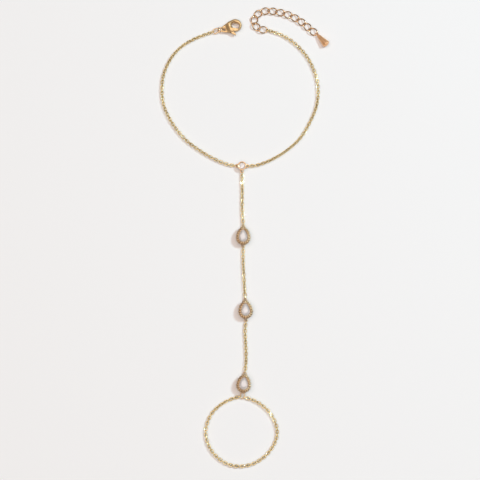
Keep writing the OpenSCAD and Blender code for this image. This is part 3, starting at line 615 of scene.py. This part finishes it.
for label, place in PEAR_PLACES.items():
    setting = pear_setting(label != "lower")
    turned = Shape()
    turned.add(np.concatenate(setting.verts), setting.faces, at_place(place))
    cup = piece("setting_" + label, turned, MILLED_GOLD, ["pear_setting_" + label])
    # Painted shade: the faces between the ridges take the dark groove gold
    cup.data.materials.append(GROOVE_SHADE_GOLD)
    for face in cup.data.polygons[SHADED_GROOVE_ROWS[0] * OUTLINE_STEPS:SHADED_GROOVE_ROWS[1] * OUTLINE_STEPS]:
        face.material_index = 1
    stone = Shape()
    stone.add(*pear_cut, at_place(place, PEAR_GIRDLE_Z))
    piece("stone_" + label, stone, CRYSTAL, ["pear_stone_" + label], sharp=1.0)

# Round bezel: a cup with a thin rounded lip and three soldered rings
BEZEL_D = ROUND_STONE_D + 2 * (STONE_CLEAR + BEZEL_WALL)
BEZEL_GIRDLE_Z = BEZEL_H - LIP_DROP - ROUND_CROWN
bezel_eye_r = BEZEL_BACK_D / 2 + (BEZEL_D - BEZEL_BACK_D) / 2 * EYE_Z / BEZEL_H
pocket_r = ROUND_STONE_D / 2 + STONE_CLEAR
lip = (BEZEL_D / 2 - pocket_r) / 2
profile = [(0, 0), (BEZEL_BACK_D / 2 - BEZEL_FOOT, 0), (BEZEL_BACK_D / 2, BEZEL_FOOT)]
profile += [(BEZEL_BACK_D / 2 + (BEZEL_D - BEZEL_BACK_D) / 2 * t ** BEZEL_FLARE,
             BEZEL_FOOT + (BEZEL_H - lip - BEZEL_FOOT) * t)
            for t in np.linspace(BEZEL_FLARE_START, 1, BEZEL_FLARE_POINTS)]
profile += arc(BEZEL_D / 2 - lip, BEZEL_H - lip, lip, *BEZEL_LIP_ARC, BEZEL_LIP_STEPS)
profile += [(pocket_r, BEZEL_GIRDLE_Z - BEZEL_SEAT_DROPS[0]),
            (BEZEL_SEAT_SHARES[0] * ROUND_STONE_D / 2, BEZEL_GIRDLE_Z - BEZEL_SEAT_DROPS[1]),
            (BEZEL_SEAT_SHARES[1] * ROUND_STONE_D / 2, BACK_T), (0, BACK_T)]
bezel = Shape()
bezel.add(*lathe(profile, BEZEL_SIDES))
for turn in BEZEL_EYE_TURNS:
    bezel.add(*EYE_RING, Matrix.Rotation(math.radians(turn), 4, "Z")
              @ Matrix.Translation((bezel_eye_r + EYE_REACH, 0, EYE_Z)))
piece("bezel", bezel, GOLD, ["center_bezel"])
stone = Shape()
stone.add(*round_cut, Matrix.Translation((0, 0, BEZEL_GIRDLE_Z)))
piece("round_stone", stone, CRYSTAL, ["center_stone"], sharp=1.0)


# ---------------------------------------------------------------- extender and drop

extender = Shape()
last_link = None
for centre, axes, size in solids("extender_chain"):
    middle_line = twisted_points((size[0] - EXT_WIRE) / 2, (EXT_W - EXT_WIRE) / 2,
                                 EXT_TWIST, EXT_STEPS)
    link = closed_wire(middle_line, EXT_WIRE, RING_SIDES, twisted=True)
    extender.add(*link, placed(centre, axes))
    if last_link is None or centre[0] > last_link[0][0]:
        last_link = centre, axes[:, 0] * (1 if axes[0, 0] > 0 else -1), size[0]
piece("extender_links", extender, EXTENDER_GOLD, ["extender_chain"])

# The drop's eyelet hangs in the end of the last link and stands square to it
link_centre, link_way, link_long = last_link
link_end = link_centre + link_way * (link_long - EXT_WIRE) / 2
eyelet_r = (EYELET_D - EYELET_WIRE) / 2
away = eyelet_r - (EXT_WIRE + EYELET_WIRE) / 2 - EXT_PLAY
drop_start = eyelet_r - EYELET_WIRE / 4
drop_slope = math.asin((DROP_D - EYELET_D) / 2 / (drop_start + DROP_LEN - DROP_DOME))
drop_place = (Matrix.Translation((link_end[0] + away * math.cos(DROP_TURN),
                                  link_end[1] + away * math.sin(DROP_TURN), EYELET_D / 2))
              @ Matrix.Rotation(DROP_TURN, 4, "Z") @ Matrix.Rotation(-drop_slope, 4, "Y"))
cone = DROP_LEN - DROP_DOME
profile = [(0, 0), (DROP_NECK / 2 - DROP_FOOT_IN, 0), (DROP_NECK / 2, DROP_FOOT)]
profile += [(DROP_NECK / 2 + (DROP_D - DROP_NECK) / 2 * t ** DROP_FLARE,
             DROP_FOOT + (cone - DROP_EDGE - DROP_FOOT) * t)
            for t in np.linspace(*DROP_CONE_RUN, DROP_CONE_POINTS)]
profile += arc(DROP_D / 2 - DROP_EDGE, cone - DROP_EDGE_LOW, DROP_EDGE,
               *DROP_EDGE_ARC, DROP_EDGE_STEPS)
top = profile[-1]
profile += [(top[0] * (1 - t), top[1] + (DROP_LEN - top[1]) * (1 - (1 - t) ** 2))
            for t in np.linspace(DROP_DOME_START, 1, DROP_DOME_POINTS)]
profile[-1] = (0, DROP_LEN)
drop = Shape()
verts, faces = lathe(profile, DROP_SIDES)
drop.add([(z + drop_start, x, y) for x, y, z in verts], faces, drop_place)
eyelet = closed_wire(oval_points(EYELET_D, EYELET_D, EYELET_WIRE, EYELET_STEPS),
                     EYELET_WIRE, RING_SIDES)
drop.add(*eyelet, drop_place @ Matrix.Rotation(math.pi / 2 + EXT_TWIST / 2, 4, "X"))
piece("cone_drop", drop, DROP_GOLD, ["end_drop"])


# ---------------------------------------------------------------- clasp

CLASP_PLACE, CLASP_Z = (-6.2, 47.2, 19.0), 1.15
CLASP_REACH, HOOK_D, BELLY_REACH, BELLY_D = 4.2, 4.2, 2.6, 3.8
HOLE_W, HOLE_L, HOLE_TURN = 1.7, 2.8, math.radians(-34)
CLASP_EYE_D, CLASP_EYE_HOLE = 2.0, 1.2

# Half thickness of the clasp along its length, as the solid has it and as the dome has it
SIDE_ALONG, SIDE_HALF = (-1.0, 0.5, 1.65, 4.2, 6.3), (0.35, 0.35, 1.3, 1.3, 0.75)
LENS_ACROSS, LENS_HALF = (0.0, 0.42, 1.26, 2.1), (1.15, 1.15, 1.05, 0.75)
DOME_EYE, DOME_BELLY, DOME_TIP = 0.34, 1.15, 0.78
# The rounding over the edges, and the half thickness round the middle plane that stays as it is
ROUND_OVER, EDGE_SHARE = 0.95, 0.42
CORE, CHANNEL_CORE = 0.2, 0.57
# Where the dome swells and falls along the clasp, and where it leaves the lever's channel as it is
# (runs of x, and of -y, x and -x)
SWELL_RUN, FALL_RUN = (0.6, 2.3), (3.4, 6.3)
CHANNEL_SIDE, CHANNEL_START, CHANNEL_STOP = (-0.6, -0.2), (1.2, 1.5), (-4.0, -3.6)
LEAST_DEPTH, LEAST_SHARE = 0.05, 0.02
BELLY_STEPS, HOOK_STEPS = 30, 20
# Remeshing of the cast copies: voxels and rounds of smoothing of the body and of the lever
BODY_VOXEL, BODY_ROUNDS, LEVER_VOXEL, LEVER_ROUNDS = 0.04, 10, 0.035, 6
SMOOTHING, KEPT_FACES = 0.5, 0.5


def ease(x, start, stop):
    """0 before start, 1 after stop, and a smooth run between them."""
    t = np.clip((x - start) / (stop - start), 0, 1)
    return t * t * (3 - 2 * t)


def edge_distance(x, y):
    """Distance from the nearest edge of the clasp's plan or of its two holes."""
    along = np.concatenate([np.linspace(0, BELLY_REACH, BELLY_STEPS),
                            np.linspace(BELLY_REACH, CLASP_REACH, HOOK_STEPS)])
    radius = np.interp(along, (0, BELLY_REACH, CLASP_REACH),
                       (CLASP_EYE_D / 2, BELLY_D / 2, HOOK_D / 2))
    outer = (radius[None] - np.hypot(x[:, None] - along[None], y[:, None])).max(1)
    u = (x - CLASP_REACH) * math.cos(HOLE_TURN) + y * math.sin(HOLE_TURN)
    v = y * math.cos(HOLE_TURN) - (x - CLASP_REACH) * math.sin(HOLE_TURN)
    hole = np.hypot(np.maximum(np.abs(u) - (HOLE_L - HOLE_W) / 2, 0), v) - HOLE_W / 2
    eye = np.hypot(x, y) - CLASP_EYE_HOLE / 2
    return np.clip(np.minimum(np.minimum(outer, hole), eye), 0, None)


def dome(x, y, z):
    """New height over the clasp's middle plane: its faces swell and round over to the edges."""
    solid_half = np.minimum(np.interp(x, SIDE_ALONG, SIDE_HALF),
                            np.interp(np.abs(y), LENS_ACROSS, LENS_HALF))
    swell = (DOME_EYE + (DOME_BELLY - DOME_EYE) * ease(x, *SWELL_RUN)
             - (DOME_BELLY - DOME_TIP) * ease(x, *FALL_RUN))
    near = np.clip(edge_distance(x, y) / ROUND_OVER, 0, 1)
    swell = swell * (EDGE_SHARE + (1 - EDGE_SHARE) * np.sqrt(1 - (1 - near) ** 2))
    core = (CORE + (CHANNEL_CORE - CORE) * ease(-y, *CHANNEL_SIDE)
            * ease(x, *CHANNEL_START) * ease(-x, *CHANNEL_STOP))
    share = np.clip((swell - core) / np.maximum(solid_half - core, LEAST_DEPTH), LEAST_SHARE, 1)
    high = np.abs(z)
    return np.where(high > core, np.sign(z) * (core + (high - core) * share), z)


def with_modifiers(mesh, name, modifiers):
    """A new mesh: what the modifiers make of the old one."""
    obj = bpy.data.objects.new(name, mesh)
    bpy.context.scene.collection.objects.link(obj)
    for kind, values in modifiers:
        modifier = obj.modifiers.new(kind.lower(), kind)
        for key, value in values.items():
            setattr(modifier, key, value)
    done = bpy.data.meshes.new_from_object(obj.evaluated_get(bpy.context.evaluated_depsgraph_get()))
    bpy.data.objects.remove(obj)
    return done


def cast_copy(node, name, body, voxel, rounds, domed):
    """Adds a rounded, cast-looking copy of a machined solid of the clasp, in place of its node."""
    mesh = with_modifiers(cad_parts[node].data.copy(), name + "_rough",
                          [("REMESH", {"mode": "VOXEL", "voxel_size": voxel})])
    if domed:
        across, up, turn = CLASP_PLACE
        local = Matrix.Translation((0, 0, CLASP_Z * MM)) @ at_place((across * MM, up * MM, turn))
        mesh.transform(local.inverted())
        points = np.empty(len(mesh.vertices) * 3)
        mesh.vertices.foreach_get("co", points)
        x, y, z = points.reshape(-1, 3).T / MM
        mesh.vertices.foreach_set("co", (np.stack([x, y, dome(x, y, z)], 1) * MM).ravel())
        mesh.update()
        mesh.transform(local)
    mesh = with_modifiers(mesh, name + "_smooth",
                          [("SMOOTH", {"factor": SMOOTHING, "iterations": rounds}),
                           ("DECIMATE", {"ratio": KEPT_FACES})])
    mesh.materials.clear()
    mesh.materials.append(CLASP_GOLD)
    mesh.shade_smooth()
    obj = bpy.data.objects.new(name, mesh)
    bpy.context.scene.collection.objects.link(obj)
    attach(obj, body)
    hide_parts(node)


cast_copy("clasp_body", "clasp_shell", BODY, BODY_VOXEL * MM, BODY_ROUNDS, True)
cast_copy("clasp_lever", "clasp_gate", LEVER, LEVER_VOXEL * MM, LEVER_ROUNDS, False)

for node, name, long, wide, wire in (
        ("clasp_ring", "clasp_jump_ring", CLASP_RING_D, CLASP_RING_D, CLASP_RING_WIRE),
        ("tail_ring", "tail_oval_ring", TAIL_RING_L, TAIL_RING_W, TAIL_RING_WIRE)):
    centre, axes, _ = solids(node)[0]
    ring = closed_wire(oval_points(long, wide, wire, JUMP_STEPS), wire, JUMP_SIDES)
    shape = Shape()
    shape.add(*ring, placed(centre, axes))
    piece(name, shape, GOLD, [node])


# ---------------------------------------------------------------- floor, light and camera

# Floor: half its size and its depth under the piece in metres, and its look
FLOOR_HALF, FLOOR_DEPTH = 3.0, 0.00002
FLOOR_COLOUR, FLOOR_ROUGH, FLOOR_SPECULAR = (0.84, 0.84, 0.83, 1.0), 0.7, 0.1


def floor():
    """The plain surface that the piece lies on."""
    mesh = bpy.data.meshes.new("floor")
    corners = [(-1, -1), (1, -1), (1, 1), (-1, 1)]
    mesh.from_pydata([(FLOOR_HALF * x, FLOOR_HALF * y, 0) for x, y in corners], [], [(0, 1, 2, 3)])
    obj = bpy.data.objects.new("floor", mesh)
    obj.location.z = -FLOOR_DEPTH
    bpy.context.scene.collection.objects.link(obj)
    mat, _, _, shader = material("floor")
    shader.inputs["Base Color"].default_value = FLOOR_COLOUR
    shader.inputs["Roughness"].default_value = FLOOR_ROUGH
    shader.inputs["Specular IOR Level"].default_value = FLOOR_SPECULAR
    mesh.materials.append(mat)


floor()

TARGET = Vector((-0.670, -24.909, 0.0)) * MM
CAMERA_ELEVATION, CAMERA_DISTANCE, LENS, SENSOR = math.radians(81.0), 0.6, 135.0, 36.0
CLIP_START, CLIP_END = 0.01, 20.0

camera_data = bpy.data.cameras.new("camera")
camera_data.lens, camera_data.sensor_width = LENS, SENSOR
camera_data.clip_start, camera_data.clip_end = CLIP_START, CLIP_END
camera = bpy.data.objects.new("camera", camera_data)
back = Vector((0, -math.cos(CAMERA_ELEVATION), math.sin(CAMERA_ELEVATION)))
camera.location = TARGET + back * CAMERA_DISTANCE
camera.rotation_mode = "QUATERNION"
camera.rotation_quaternion = (-back).to_track_quat("-Z", "Y")
bpy.context.scene.collection.objects.link(camera)
bpy.context.scene.camera = camera


def area_light(name, azimuth, elevation, distance, size, power, colour):
    """Square light that looks at the target, its azimuth in degrees from +X towards +Y."""
    a, e = math.radians(azimuth), math.radians(elevation)
    way = Vector((math.cos(a) * math.cos(e), math.sin(a) * math.cos(e), math.sin(e)))
    data = bpy.data.lights.new(name, "AREA")
    data.size, data.energy, data.color = size, power, colour
    light = bpy.data.objects.new(name, data)
    light.location = TARGET + way * distance
    light.rotation_mode = "QUATERNION"
    light.rotation_quaternion = (-way).to_track_quat("-Z", "Y")
    bpy.context.scene.collection.objects.link(light)


# The fill is warm and the key is cool, so that the shadows are pale and pinkish on a neutral floor
area_light("key", azimuth=27, elevation=50, distance=1.2, size=0.035, power=7.3,
           colour=(0.64, 0.88, 1.0))
area_light("overhead", azimuth=200, elevation=84, distance=1.3, size=1.5, power=16.0,
           colour=(1.0, 0.875, 0.83))

WORLD_COLOUR, WORLD_STRENGTH = (1.0, 0.84, 0.76, 1.0), 0.14
world = bpy.data.worlds.new("studio")
bpy.context.scene.world = world
world.use_nodes = True
background = world.node_tree.nodes["Background"]
background.inputs["Color"].default_value = WORLD_COLOUR
background.inputs["Strength"].default_value = WORLD_STRENGTH

bpy.context.scene.view_settings.view_transform = "Standard"
